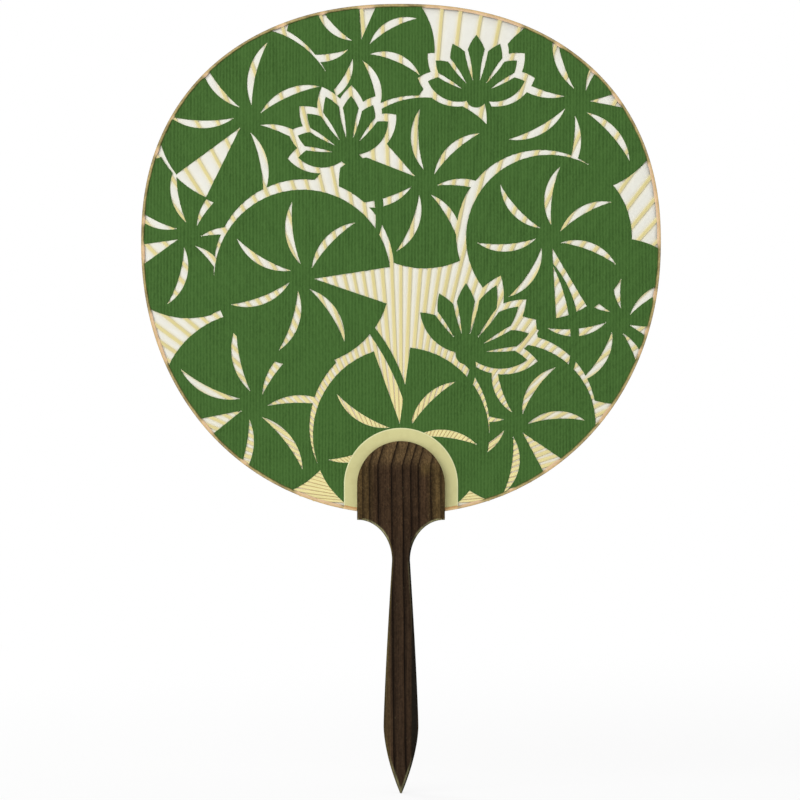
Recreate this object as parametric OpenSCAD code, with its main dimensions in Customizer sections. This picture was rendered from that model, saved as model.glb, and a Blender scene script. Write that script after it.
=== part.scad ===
// Round hand fan. Split bamboo ribs lie between a cut green front paper and a plain white back paper.
// A folded strip binds the rim, and a slotted wooden handle is glued over the root of the blade.
// The fan stands upright: X across, Y from front to back, Z up. The origin is the widest point of the grip.

/* [Handle] */
// Width of the grip at its widest
grip_w = 16.4; // [12:0.2:22]
// Length from the widest point of the grip up to the neck
grip_l = 78; // [60:1:110]
// Length from the widest point of the grip down to the tip
tip_l = 31.3; // [20:0.1:50]
// Width left at the tip
tip_w = 0.8; // [0.4:0.1:2]
// Width of the neck
neck_w = 8.4; // [6:0.2:12]
// Thickness of the board that the handle is cut from
handle_t = 10; // [7:0.2:14]
// Thickness left at the tip
tip_t = 8; // [2:0.2:10]
// Width of the flat between the chamfers where the grip is widest
flat_w = 9.6; // [8:0.2:10]
// Least chamfer, along the neck, the hollow curve and the tip
least_chamfer = 0.9; // [0.3:0.1:1.6]
// Height of the hollow curve between the neck and the head
cove_h = 19; // [10:0.5:26]
// Flat left on each side between the hollow curve and the head's corner
cove_ledge = 0.4; // [0:0.1:6]
// Fullness of the outline towards the tip, where 1 is a straight taper
tip_fullness = 1.65; // [1.2:0.05:2.4]
// Fullness of the outline towards the neck
neck_fullness = 1.25; // [1:0.05:1.8]

/* [Head] */
// Width of the head
head_w = 41.2; // [36:0.2:56]
// Height of the head's straight sides, under its round top
head_side_h = 16.3; // [10:0.1:26]
// Thickness of the head at the top of its arch
head_top_t = 4.2; // [3.4:0.1:6.8]
// Height over which the head is bevelled towards its top
head_bevel_h = 11.2; // [5:0.2:20]
// Height of the slot's floor above the underside of the head
slot_rise = 2.6; // [2:0.1:8]
// Glue gap between the slot and the papers, on each face and at the floor
slot_fit = 0.05; // [0.01:0.01:0.2]

/* [Blade] */
// Width of the papers at the widest line
blade_w = 244; // [180:1:280]
// Rise of the papers from the widest line to the top
blade_up = 112; // [90:1:140]
// Drop of the papers from the widest line to the foot in the slot
blade_down = 127.6; // [110:0.2:140]
// Roundness of the upper rim, where 2 is an ellipse
round_up = 2.24; // [2:0.02:2.6]
// Roundness of the lower rim
round_down = 2.1; // [2:0.02:2.4]
// Thickness of the front paper
front_t = 0.2; // [0.1:0.05:0.4]
// Thickness of the back paper
back_t = 0.2; // [0.1:0.05:0.4]

/* [Ribs] */
// Number of ribs on each side of the middle one
rib_pairs = 37; // [25:1:37]
// Angle from one rib to the next
rib_pitch = 2.33; // [1.8:0.01:2.33]
// Width of a rib where the ribs stand free
rib_w = 1.6; // [1:0.1:1.6]
// Thickness of a rib
rib_t = 0.6; // [0.4:0.1:1]
// Height of the point that the ribs aim at, above the foot of the blade
rib_focus_rise = 4.1; // [2:0.1:8]
// Distance from that point to the inner end of the ribs
rib_start = 15; // [10:0.5:20]
// Gap between neighbouring ribs where they crowd together
rib_gap = 0.12; // [0.05:0.01:0.2]

/* [Binding and patches] */
// Width of the binding strip on each face
binding_w = 1.5; // [1:0.1:4]
// Thickness of the binding strip
binding_t = 0.15; // [0.1:0.05:0.3]
// Gap between the ends of the binding and the head
binding_gap = 0.1; // [0.05:0.05:0.5]
// Width of the base patch that shows around the head
patch_margin = 6.2; // [3:0.2:12]
// Thickness of a base patch
patch_t = 0.15; // [0.1:0.05:0.3]

/* [Openwork] */
// Widest gap of the crescent that sets a leaf off from the leaf behind it
crescent_gap = 4.8; // [2:0.1:6]
// Share of that gap by which the crescent's circle is larger than the leaf
crescent_grow = 0.16; // [0.1:0.01:0.25]
// Number of vein slits in a leaf
veins = 6; // [3:1:8]
// Widest part of a vein slit
vein_w = 3.4; // [1.5:0.1:4]
// Bend of a vein slit
vein_bend = 1.6; // [0.5:0.1:4]
// Place where a vein slit starts, as a share of the leaf's radius
vein_start = 0.16; // [0.14:0.01:0.3]
// Length of a vein slit, as a share of the leaf's radius
vein_reach = 0.7; // [0.4:0.01:0.7]
// Depth to which a leaf is notched, as a share of its radius
notch_depth = 0.86; // [0.5:0.01:0.9]
// Half the angle of the notch
notch_half_angle = 13.8; // [6:0.1:16]
// Width of a blossom's petal
petal_w = 11; // [7:0.5:14]
// Angle from one petal to the next
petal_turn = 24; // [20:0.5:26]
// Share by which an outermost petal is shorter than the middle one
petal_loss = 0.18; // [0:0.01:0.4]
// Radius of the heart that joins a blossom's petals
heart_r = 5; // [4.6:0.1:6]
// Width of the slits between the petals
petal_slit = 1.8; // [1:0.1:3]
// Place where a slit starts, as a share of the petal's length
slit_start = 0.28; // [0.2:0.01:0.5]
// Gap left around a blossom
petal_gap = 2.4; // [1:0.1:3]
// Width of a stem at its middle
stem_w = 4.2; // [2:0.1:8]
// Bend of a stem
stem_bend = 7; // [2:0.5:12]
// Length of stem inside its blossom
stem_lap = 4; // [2:0.5:8]

/* [Hidden] */
$fn = 96;
// Steps along a curved outline: degrees along the rim, points along the grip, the cove and the tip
RIM_STEP = 2;
GRIP_STEPS = 26;
COVE_STEPS = 12;
TIP_STEPS = 8;
// Power with which the handle thins towards its tip
TIP_THINNING = 2;
// Largest share of the grip's half width, and of its half thickness, that a chamfer takes
CHAMFER_SHARE = 0.8;
// Petals on each side of a blossom's middle one
SIDE_PETALS = 3;
// Direction in which a stem leaves its blossom
STEM_TURN = 170;

// Faces of the rib layer, and the faces of the slot that takes the whole blade
rib_front = -rib_t / 2;
rib_back = rib_t / 2;
paper_front = rib_front - front_t;
paper_back = rib_back + back_t;
slot_front = paper_front - patch_t - slot_fit;
slot_back = paper_back + patch_t + slot_fit;
// Heights, from the underside of the head up to the blade's widest line
head_z = grip_l + cove_h;
arch_z = head_z + head_side_h;
head_top_z = arch_z + head_w / 2;
slot_z = head_z + slot_rise;
foot_z = slot_z + slot_fit;
focus_z = foot_z + rib_focus_rise;
blade_z = foot_z + blade_down;
// Chamfer where the grip is widest
chamfer_top = min((grip_w - flat_w) / 2, CHAMFER_SHARE * handle_t / 2);
// Width of the hollow curve on each side
cove_w = (head_w - neck_w) / 2 - cove_ledge;
// A length that reaches past everything, for cuts
far = 2 * (blade_w + grip_l);

// Places on the blade are shares: across of its half width, and up of its rise, or down of its drop.
// Radii and lengths are shares of its half width.
// Round leaves, back to front: place across, place up, radius, direction of the notch,
// direction in which the crescent opens
LEAVES = [
    [-0.82, 0.03, 0.32, 202, 100],
    [0.84, -0.29, 0.32, -20, 130],
    [-0.16, 0.81, 0.29, 80, 90],
    [0.68, 0.59, 0.35, 3, 170],
    [-0.59, 0.52, 0.35, 230, 130],
    [-0.57, -0.6, 0.36, 205, 60],
    [0.44, -0.67, 0.31, -48, 100],
    [0.09, 0.25, 0.33, 145, 180],
    [0, -0.71, 0.34, 96, 100],
    [0.57, 0.02, 0.32, 287, 160],
    [-0.38, -0.13, 0.34, -5, 80],
];
// Blossoms: place across, place up, petal length, direction, length of the stem
BLOSSOMS = [
    [-0.2, 0.37, 0.24, 112, 0.42],
    [0.25, -0.41, 0.29, 66, 0.3],
    [0.29, 0.61, 0.24, 90, 0.3],
];
// Leaf stems: place across, place up, length, direction
STEMS = [
    [0.57, -0.06, 0.53, 275],
    [-0.29, -0.16, 0.67, 300],
];

// A petal is the lens of two equal circles, from the origin along X
module petal(length, width) {
    r = (length * length + width * width) / (4 * width);
    translate([length / 2, 0])
        intersection() {
            translate([0, r - width / 2]) circle(r);
            translate([0, width / 2 - r]) circle(r);
        }
}

// A sickle lies between two arcs over one chord, the lower one bent by bend, from the origin along X
module sickle(length, bend, width) {
    rise = bend + width;
    outer_r = (length * length / 4 + rise * rise) / (2 * rise);
    inner_r = (length * length / 4 + bend * bend) / (2 * bend);
    translate([length / 2, 0])
        difference() {
            translate([0, rise - outer_r]) circle(outer_r);
            translate([0, bend - inner_r]) circle(inner_r);
        }
}

// A wedge from the origin along X, open at its far end
module wedge(length, half_angle) {
    polygon([[0, 0], [length, length * tan(half_angle)], [length, -length * tan(half_angle)]]);
}

module leaf(r, turn) {
    rotate(turn)
        difference() {
            circle(r);
            translate([r * (1 - notch_depth), 0]) wedge(2 * r, notch_half_angle);
            for (i = [1 : veins]) {
                rotate(i * 360 / (veins + 1))
                    translate([r * vein_start, 0])
                        sickle(r * vein_reach, vein_bend, vein_w);
            }
        }
}

// The clearance around a leaf: a larger circle, moved so that it shows on one side only
module leaf_gap(r, open_to) {
    rotate(open_to)
        translate([crescent_gap * (1 - crescent_grow), 0])
            circle(r + crescent_gap * crescent_grow);
}

// Lays its children out as a blossom's petals, each with the share of its length in $share
module petal_fan() {
    for (i = [-SIDE_PETALS : SIDE_PETALS]) {
        $share = 1 - petal_loss * abs(i) / SIDE_PETALS;
        rotate(i * petal_turn) children();
    }
}

module blossom(length, stem) {
    difference() {
        petal_fan() petal(length * $share, petal_w);
        for (i = [0.5 - SIDE_PETALS : SIDE_PETALS]) {
            rotate(i * petal_turn)
                translate([length * slit_start, 0])
                    petal(length * (1 - slit_start), petal_slit);
        }
    }
    circle(heart_r);
    rotate(STEM_TURN) translate([-stem_lap, 0]) sickle(stem, stem_bend, stem_w);
}

module blossom_gap(length) {
    petal_fan()
        translate([-petal_gap, 0])
            petal(length * $share + 3 * petal_gap, petal_w + 2 * petal_gap);
}

// Puts its children at a place on the blade, turned to a direction
module at(place, turn = 0) {
    translate([place[0] * blade_w / 2, place[1] * (place[1] < 0 ? blade_down : blade_up)])
        rotate(turn)
            children();
}

// The first n leaves, each of which clears the ones behind it
module leaves(n) {
    if (n > 0) {
        one = LEAVES[n - 1];
        r = one[2] * blade_w / 2;
        difference() {
            leaves(n - 1);
            at(one) leaf_gap(r, one[4]);
        }
        at(one) leaf(r, one[3]);
    }
}

module openwork() {
    unit = blade_w / 2;
    difference() {
        leaves(len(LEAVES));
        for (one = BLOSSOMS) at(one, one[3]) blossom_gap(one[2] * unit);
    }
    for (one = BLOSSOMS) at(one, one[3]) blossom(one[2] * unit, one[4] * unit);
    for (one = STEMS) at(one, one[3]) sickle(one[2] * unit, stem_bend, stem_w);
}

// A point of the rim, moved inwards along its normal: a superellipse with its own power above and below
function rim(t, inset) =
    let (up = sin(t) >= 0,
         a = blade_w / 2,
         b = up ? blade_up : blade_down,
         n = up ? round_up : round_down,
         c = abs(cos(t)),
         s = abs(sin(t)),
         x = sign(cos(t)) * a * pow(c, 2 / n),
         z = sign(sin(t)) * b * pow(s, 2 / n),
         normal_x = sign(cos(t)) * pow(c, 2 - 2 / n) / a,
         normal_z = sign(sin(t)) * pow(s, 2 - 2 / n) / b,
         normal = [normal_x, normal_z] / norm([normal_x, normal_z]))
    [x, z] - inset * normal;

module blade_outline(inset = 0) {
    translate([0, blade_z]) polygon([for (t = [0 : RIM_STEP : 360 - RIM_STEP]) rim(t, inset)]);
}

// Stands a flat outline upright as a plate whose back face lies at y_back
module plate(y_back, thickness) {
    translate([0, y_back, 0]) rotate([90, 0, 0]) linear_extrude(thickness) children();
}

module front_sheet() {
    color([0.27, 0.41, 0.2])
        plate(rib_front, front_t)
            intersection() {
                blade_outline();
                translate([0, blade_z]) openwork();
            }
}

module back_sheet() {
    color([0.92, 0.91, 0.86]) plate(paper_back, back_t) blade_outline();
}

// One rib, aimed at the focus and leaning by a signed angle. It narrows where it crowds its neighbours.
module rib(lean) {
    spread = 2 * tan(rib_pitch / 2);
    root_w = rib_start * spread - rib_gap;
    free = (rib_w + rib_gap) / spread;
    plate(rib_back, rib_t)
        intersection() {
            translate([0, focus_z])
                rotate(lean)
                    polygon([
                        [-root_w / 2, rib_start], [root_w / 2, rib_start],
                        [rib_w / 2, free], [rib_w / 2, far],
                        [-rib_w / 2, far], [-rib_w / 2, free],
                    ]);
            blade_outline();
        }
}

module rib_centre() {
    color([0.83, 0.79, 0.58]) rib(0);
}

module rib_pair(i) {
    color([0.83, 0.79, 0.58])
        for (side = [-1, 1]) rib(side * i * rib_pitch);
}

// Flat outline of a base patch: an arch around the head, with the blade's own foot
module patch_outline() {
    intersection() {
        blade_outline();
        union() {
            translate([0, arch_z]) circle(head_w / 2 + patch_margin);
            translate([-head_w / 2 - patch_margin, 0]) square([head_w + 2 * patch_margin, arch_z]);
        }
    }
}

module base_patch_front() {
    color([0.82, 0.8, 0.57]) plate(paper_front, patch_t) patch_outline();
}

module base_patch_back() {
    color([0.82, 0.8, 0.57]) plate(paper_back + patch_t, patch_t) patch_outline();
}

// A ring along the rim between two depths, from binding_w inside it to binding_t outside
module rim_band(y_front, y_back) {
    plate(y_back, y_back - y_front)
        difference() {
            blade_outline(-binding_t);
            blade_outline(binding_w);
        }
}

// A full-depth block, width wide and centred, below the head's arch
module below_arch(width) {
    translate([-width / 2, -far / 2, 0]) cube([width, far, arch_z]);
}

module edge_binding() {
    color([0.8, 0.68, 0.5])
        difference() {
            union() {
                rim_band(paper_front - binding_t, paper_back + binding_t);
                intersection() {
                    rim_band(paper_front - patch_t - binding_t, paper_back + patch_t + binding_t);
                    below_arch(head_w + 2 * patch_margin + 2 * binding_t);
                }
            }
            plate(paper_back, paper_back - paper_front) blade_outline();
            plate(paper_back + patch_t, paper_back - paper_front + 2 * patch_t) patch_outline();
            below_arch(head_w + 2 * binding_gap);
        }
}

// Half width of the grip, from the tip to the neck
function grip_half(z) =
    z < 0 ? tip_w / 2 + (grip_w - tip_w) / 2 * (1 - pow(-z / tip_l, tip_fullness))
          : grip_w / 2 - (grip_w - neck_w) / 2 * pow(z / grip_l, neck_fullness);

// Half thickness of the handle, thinning to the tip and bevelled at the head
function half_t(z) =
    z < 0 ? handle_t / 2 - (handle_t - tip_t) / 2 * pow(-z / tip_l, TIP_THINNING)
          : handle_t / 2 - (handle_t - head_top_t) / 2 * max(0, (z - head_top_z + head_bevel_h) / head_bevel_h);

// Chamfer along the grip's corners: it takes what the flat leaves of the width, and evens out up to the neck
function chamfer(z) =
    z < 0 ? min(max(least_chamfer, grip_half(z) - flat_w / 2), CHAMFER_SHARE * min(grip_half(z), half_t(z)))
          : chamfer_top + (least_chamfer - chamfer_top) * min(1, z / grip_l);

// Half width of the cove above the neck: a quarter of an ellipse, hollow outwards
function cove_half(z) = neck_w / 2 + cove_w * (1 - sqrt(1 - pow((z - grip_l) / cove_h, 2)));

function grip_z(i) = -tip_l + (grip_l + tip_l) * i / GRIP_STEPS;
function cove_z(i) = grip_l + cove_h * sin(i * 90 / COVE_STEPS);

function mirrored(points) = concat(points, [for (i = [len(points) - 1 : -1 : 0]) [-points[i][0], points[i][1]]]);

module handle_face() {
    grip = [for (i = [0 : GRIP_STEPS]) [grip_half(grip_z(i)), grip_z(i)]];
    cove = [for (i = [1 : COVE_STEPS]) [cove_half(cove_z(i)), cove_z(i)]];
    polygon(mirrored(concat(grip, cove, [[head_w / 2, head_z], [head_w / 2, arch_z]])));
    translate([0, arch_z]) circle(head_w / 2);
}

module handle_side() {
    tip = [for (i = [0 : TIP_STEPS]) let (z = -tip_l * (1 - i / TIP_STEPS)) [half_t(z), z]];
    polygon(mirrored(concat(tip, [[handle_t / 2, head_top_z - head_bevel_h], [head_top_t / 2, head_top_z]])));
}

// Seen along a diagonal, this outline leaves the chamfers
module handle_diagonal(turn) {
    low = [for (i = [0 : GRIP_STEPS]) let (z = grip_z(i))
        [(grip_half(z) + half_t(z) - chamfer(z)) / sqrt(2), z]];
    cove = [for (i = [1 : COVE_STEPS]) let (z = cove_z(i))
        [(cove_half(z) + half_t(z) - least_chamfer) / sqrt(2), z]];
    rotate(turn)
        plate(head_w, 2 * head_w)
            polygon(mirrored(concat(low, cove, [[head_w, head_z], [head_w, head_top_z]])));
}

module handle() {
    color([0.24, 0.19, 0.15])
        difference() {
            intersection() {
                plate(handle_t / 2, handle_t) handle_face();
                rotate(90) plate(head_w / 2, head_w) handle_side();
                handle_diagonal(45);
                handle_diagonal(-45);
            }
            translate([-head_w, slot_front, slot_z]) cube([2 * head_w, slot_back - slot_front, far]);
        }
}

handle();
front_sheet();
back_sheet();
edge_binding();
base_patch_front();
base_patch_back();
rib_centre();
for (i = [1 : rib_pairs]) {
    rib_pair(i);
}
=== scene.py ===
"""Round hand fan: cut green paper over bamboo ribs, white back paper, bound rim, charred cedar handle."""
import math

import bmesh
import bpy
import numpy as np
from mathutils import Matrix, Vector
from mathutils.geometry import delaunay_2d_cdt


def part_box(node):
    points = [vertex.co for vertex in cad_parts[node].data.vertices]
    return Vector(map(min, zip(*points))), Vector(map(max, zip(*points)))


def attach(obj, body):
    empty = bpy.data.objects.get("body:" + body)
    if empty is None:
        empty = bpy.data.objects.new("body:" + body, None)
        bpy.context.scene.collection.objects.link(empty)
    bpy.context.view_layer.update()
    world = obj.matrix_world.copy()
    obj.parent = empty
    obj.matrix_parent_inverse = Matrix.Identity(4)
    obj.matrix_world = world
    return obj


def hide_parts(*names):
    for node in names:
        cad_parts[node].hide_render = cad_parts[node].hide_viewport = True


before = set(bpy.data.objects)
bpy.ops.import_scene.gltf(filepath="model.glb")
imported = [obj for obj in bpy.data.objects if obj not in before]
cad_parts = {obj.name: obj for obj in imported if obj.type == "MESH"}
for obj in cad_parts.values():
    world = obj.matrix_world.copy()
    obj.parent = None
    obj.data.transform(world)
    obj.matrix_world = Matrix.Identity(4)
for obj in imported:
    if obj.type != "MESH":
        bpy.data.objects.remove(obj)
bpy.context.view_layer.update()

MM = 0.001
# Points nearer than this are one point, and how often an interval is halved to find a place
SAME_PLACE = 1e-8
HALVINGS = 40

# The photograph's frame, the pixel on which the origin lies, and the camera
PHOTO_PX = 800
MM_PER_PX = 0.47
ORIGIN_PX = (401, 726)
CAMERA_AWAY = 2.0
SENSOR_MM = 36

# The studio: how bright the world shines on the object, the floor's own glow near it, and the floor's size
WORLD_LEVEL = 0.5
FLOOR_GLOW = 0.82
FLOOR_SIZE = 12
LAMP_AIM = (0, 0, 0.2)
# Lamps: name, place, size across, power
LAMPS = [
    ("key_left", (-1.0, -1.65, 1.1), 2.3, 30.2),
    ("back_left", (-1.0, 1.7, 1.1), 1.2, 22),
]

# The blade, from the frame
paper_low, paper_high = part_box("back_sheet")
front_low, front_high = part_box("front_sheet")
patch_low, patch_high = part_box("base_patch_front")
HALF_W = paper_high.x
FOOT_Z = paper_low.z
TOP_Z = paper_high.z
FRONT_Y = front_low.y
RIB_FRONT_Y = front_high.y
RIB_BACK_Y = paper_low.y
BACK_Y = paper_high.y
PATCH_T = front_low.y - patch_low.y
PATCH_R = patch_high.x
PAPER_T = paper_high.y - paper_low.y

# The blade's rim: drop from the widest line to the foot, and roundness above and below that line
BLADE_DROP = 127.6 * MM
ROUND_UP = 2.24
ROUND_DOWN = 2.1
WIDEST_Z = FOOT_Z + BLADE_DROP

# The ribs, all aimed at one focus in the head
RIB_PAIRS = 37
RIB_COUNT = 2 * RIB_PAIRS + 1
RIB_PITCH = math.radians(2.33)
RIB_W = 1.6 * MM
RIB_GAP = 0.12 * MM
RIB_START = 15 * MM
RIB_END_GAP = 0.5 * MM
FOCUS_Z = FOOT_Z + 4.1 * MM
RIB_STATIONS = 24
RIB_SIDES = 14
# Each rib's lean and width: an even fan, with the small errors of a hand that splits and spreads it
LEAN_ERROR = 0.0021
WIDTH_RANGE = (0.88, 1.14)
rib_luck = np.random.RandomState(11)
even_leans = np.arange(-RIB_PAIRS, RIB_PAIRS + 1) * RIB_PITCH
RIB_LEANS = even_leans + rib_luck.uniform(-LEAN_ERROR, LEAN_ERROR, RIB_COUNT)
RIB_WIDTHS = RIB_W * rib_luck.uniform(*WIDTH_RANGE, RIB_COUNT)
# How the stations of a rib crowd towards the head, the roundness of its section across and in depth,
# the angle on each side within which its end keeps clear of the rim, the shift of its grain against
# that of the rib beside it, and the error of its tone
STATION_POWER = 1.2
ROUND_ACROSS = 0.6
ROUND_DEEP = 0.45
END_ANGLE = 0.004
GRAIN_SHIFT = 0.37
TONE_ERROR = 0.04

# How far the papers sink between the ribs until they meet, over what distance,
# and the share of a rib's width, on each side of its middle, that holds them up
SAG_FRONT = 0.26 * MM
SAG_BACK = 0.31 * MM
SAG_FALL = 1.15 * MM
RIB_HOLD = 0.34

# The front paper: laid lines, its outline's stretches, the band along its cut edges, which are pressed
# to a share of the full thickness, and the net about the ribs' focus
LAID_PITCH = 1.55 * MM
EDGE_STEP = 1.0 * MM
EDGE_BAND = 0.38 * MM
EDGE_SHARE = 0.5
FINE_ANGLES = 8
REACH_STEP = 3.2 * MM

# The back paper's rays: in the fan of the ribs, and below it
BACK_ANGLES = 901
BELOW_ANGLES = 90

# The binding: its size, how far its width wavers, how much narrower it is over the green, and its mottle
BINDING_W = 1.5 * MM
BINDING_T = 0.15 * MM
BINDING_WAVER = 0.07
BINDING_TUCK = 0.14
BINDING_MOTTLE = 0.24
# Points at which the rim is read off, and the binding's stations round it
RIM_POINTS = 4001
RIM_STATIONS = 1600
# The binding's section. On a flap: depth into the blade and height over the paper, as shares of its width
# and thickness. On the fold: depth and height, as shares of its thickness and of the height of its flaps.
FLAP = [(1.0, 0.1), (0.94, 0.8), (0.6, 1.0), (0.25, 0.95), (0.0, 0.8)]
FOLD = [(-0.75, 0.35), (-1.0, 0.0), (-0.75, -0.35)]
BINDING_FRONT = len(FLAP + FOLD)

# The handle
handle_low, handle_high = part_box("handle")
HEAD_R = handle_high.x
HANDLE_TOP_Z = handle_high.z
TIP_Z = handle_low.z
HANDLE_T = handle_high.y
ARCH_Z = HANDLE_TOP_Z - HEAD_R
HEAD_Z = 97 * MM
NECK_Z = 78 * MM
GRIP_R = 8.2 * MM
NECK_R = 4.2 * MM
COVE_R = 16 * MM
COVE_H = HEAD_Z - NECK_Z
SLOT_Z = 99.6 * MM
SLOT_Y = BACK_Y + PATCH_T + 0.05 * MM
TIP_R = 0.4 * MM
TIP_T = 4 * MM
TIP_FULLNESS = 1.65
NECK_FULLNESS = 1.25
HEAD_TOP_T = 2.1 * MM
BEVEL_H = 11.2 * MM
# The grip's chamfers: half the flat between them, the least width, and the most as a share of what is there
FLAT_R = 4.8 * MM
LEAST_CHAMFER = 0.9 * MM
CHAMFER_SHARE = 0.8
HEAD_EDGE = 0.35 * MM
# Points across a face, shares of the thickness at which its walls are cut, and how far the head's rows bow
FACE_COLS = 141
WALL_CUTS = np.linspace(0, 1, 8)[1:-1]
ROW_BOW = 1.0 * MM

# Growth rings that stand out dark: place across at the handle's front in mm, and darkness
RINGS = [
    (-30.5, 0.8), (-26.8, 0.9), (-22.5, 0.9), (-18.4, 0.8), (-15.3, 0.9), (-11.3, 1.0),
    (-5.0, 1.0), (0.4, 1.0), (4.1, 1.0), (7.7, 0.95), (13.5, 0.9), (18.3, 0.8),
]
# How the rings lean, in the board's thickness and along it, and how far they waver
RING_TILT = 1.1
RING_LEAN = 0.0084
RING_WAVER = 0.12 * MM
# A ring's dark line: its sharp left side, its core and its tail to the right
RING_SHARP = 0.2 * MM
RING_CORE = 1.2 * MM
RING_TAIL = 3.8 * MM
GROOVE_DEPTH = 0.32 * MM
GROOVE_R = 0.5 * MM
GROOVE_SHIFT = 0.25 * MM


def srgb(red, green, blue):
    """A colour given as 0 to 255, as the linear numbers that shaders take."""
    share = np.array([red, green, blue]) / 255
    return np.where(share <= 0.04045, share / 12.92, ((share + 0.055) / 1.055) ** 2.4)


GREEN = srgb(59, 93, 41)
GREEN_LIGHT = srgb(73, 108, 52)
GREEN_DARK = srgb(52, 83, 35)
PALE_GREEN = srgb(206, 216, 178)
WHITE = srgb(233, 232, 223)
RIB = srgb(216, 203, 138)
RIB_EDGE = srgb(232, 223, 184)
RIB_ROOT = srgb(234, 223, 160)
RIB_GAP_SHADE = srgb(222, 190, 122)
FIBRE_DARK = srgb(196, 172, 104)
FIBRE_WARM = srgb(232, 205, 150)
PATCH = srgb(211, 206, 149)
PATCH_EDGE_HIGHLIGHT = srgb(224, 223, 174)
# The binding at its outer fold and at its inner edge: over openings, over the green and over the patches. Their
# darker ends are partly painted shade along the strip's borders.
BIND_WHITE = srgb(212, 181, 130), srgb(229, 196, 162)
BIND_GREEN = srgb(160, 132, 98), srgb(78, 78, 34)
BIND_PATCH = srgb(230, 199, 149), srgb(205, 154, 96)
# A painted highlight on its raised middle over the green
BIND_GREEN_HIGHLIGHT = srgb(188, 174, 118)
CHAR = srgb(15, 10, 7)
CEDAR = srgb(71, 54, 39)
CEDAR_GRIP = srgb(66, 51, 38)
CEDAR_OLIVE = srgb(98, 80, 49)
# The bevel's colour is partly painted light; the left chamfer's colours are painted light, the right one's
# painted shade
CEDAR_BEVEL_CUT_AND_LIT = srgb(108, 87, 59)
CEDAR_LEFT_LIT = srgb(78, 62, 42)
CEDAR_LEFT_RIM_LIT = srgb(88, 77, 48)
CEDAR_RIGHT_SHADED = srgb(37, 33, 27)
WORN = srgb(168, 166, 124)


# Numbers and meshes

def smooth_step(value, low, high):
    """0 below low, 1 above high, and a cubic ease between them."""
    share = np.clip((value - low) / (high - low), 0, 1)
    return share * share * (3 - 2 * share)


def bell(away, width):
    """1 at no distance, falling to both sides as a bell of the given width."""
    return np.exp(-((away / width) ** 2))


def ripple(value, waves, seed):
    """A smooth random function of value, within about -1 to 1: a sum of sines of the given wavelengths."""
    phases = np.random.RandomState(seed).uniform(0, 2 * math.pi, len(waves))
    total = sum(np.sin(2 * math.pi * value / wave + phase) for wave, phase in zip(waves, phases))
    return total / math.sqrt(len(waves))


def signed_power(value, power):
    """A value raised to a power, with its sign kept."""
    return np.sign(value) * np.abs(value) ** power


def blend(a, b, share):
    """Mixes two colours by an array of shares."""
    share = np.asarray(share)[..., None]
    return np.asarray(a) * (1 - share) + np.asarray(b) * share


def runs(counts):
    """Runs of 0, 1, 2 and so on, as long as the counts say: each entry's run, and its place in the run."""
    run = np.repeat(np.arange(len(counts)), counts)
    return run, np.arange(len(run)) - (np.cumsum(counts) - counts)[run]


def grid_faces(rows, cols, around=False):
    """The quads of a grid of points stored row by row; around joins the last column to the first."""
    row, col = np.mgrid[0 : rows - 1, 0 : cols if around else cols - 1]
    here = row * cols + col
    side = row * cols + (col + 1) % cols
    return np.stack([here, side, side + cols, here + cols], -1).reshape(-1, 4)


def tube_faces(rows, cols, start=0):
    """The faces of a closed tube: quads between its rings, which follow each other from the point start on, and
    a cap at each end."""
    quads = grid_faces(rows, cols, around=True) + start
    caps = np.array([[0], [(rows - 1) * cols]]) + np.arange(cols) + start
    return quads.tolist() + caps.tolist()


def mesh_piece(name, points, faces, materials):
    """A smooth mesh object from an array of points and a list of faces."""
    mesh = bpy.data.meshes.new(name)
    mesh.from_pydata(np.reshape(points, (-1, 3)).tolist(), [], faces)
    for material in materials:
        mesh.materials.append(material)
    mesh.shade_smooth()
    piece = bpy.data.objects.new(name, mesh)
    bpy.context.scene.collection.objects.link(piece)
    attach(piece, "root")
    return piece


def turn_outwards(piece, merge=True):
    """Turns the faces outwards. Doubles are merged first, unless the points' order is still needed."""
    work = bmesh.new()
    work.from_mesh(piece.data)
    if merge:
        bmesh.ops.remove_doubles(work, verts=work.verts, dist=SAME_PLACE)
        bmesh.ops.dissolve_degenerate(work, edges=work.edges, dist=SAME_PLACE)
    bmesh.ops.recalc_face_normals(work, faces=work.faces)
    work.to_mesh(piece.data)
    work.free()


def face_towards(piece, side):
    """Turns the faces of a sheet to the front, side -1, or to the back, side 1."""
    normals = np.zeros(len(piece.data.polygons) * 3)
    piece.data.polygons.foreach_get("normal", normals)
    if normals[1::3].mean() * side < 0:
        piece.data.flip_normals()


def thicken(piece, thickness):
    """Gives a sheet its thickness, behind the side to which its faces look."""
    solid = piece.modifiers.new("thickness", "SOLIDIFY")
    solid.thickness = thickness
    solid.offset = -1
    return solid


def mesh_points(mesh):
    """A mesh's points as an array of x, y and z."""
    flat = np.zeros(len(mesh.vertices) * 3)
    mesh.vertices.foreach_get("co", flat)
    return flat.reshape(-1, 3)


def give_tint(piece, colours):
    """Stores one colour a point, which the material reads."""
    rgba = np.concatenate([colours, np.ones((len(colours), 1))], 1)
    tint = piece.data.color_attributes.new("tint", "FLOAT_COLOR", "POINT")
    tint.data.foreach_set("color", rgba.astype(np.float32).ravel())


def give_value(piece, name, values):
    """Stores one number a point, which the material reads."""
    attribute = piece.data.attributes.new(name, "FLOAT", "POINT")
    attribute.data.foreach_set("value", values.astype(np.float32))


# The rim and the ribs as functions

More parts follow.
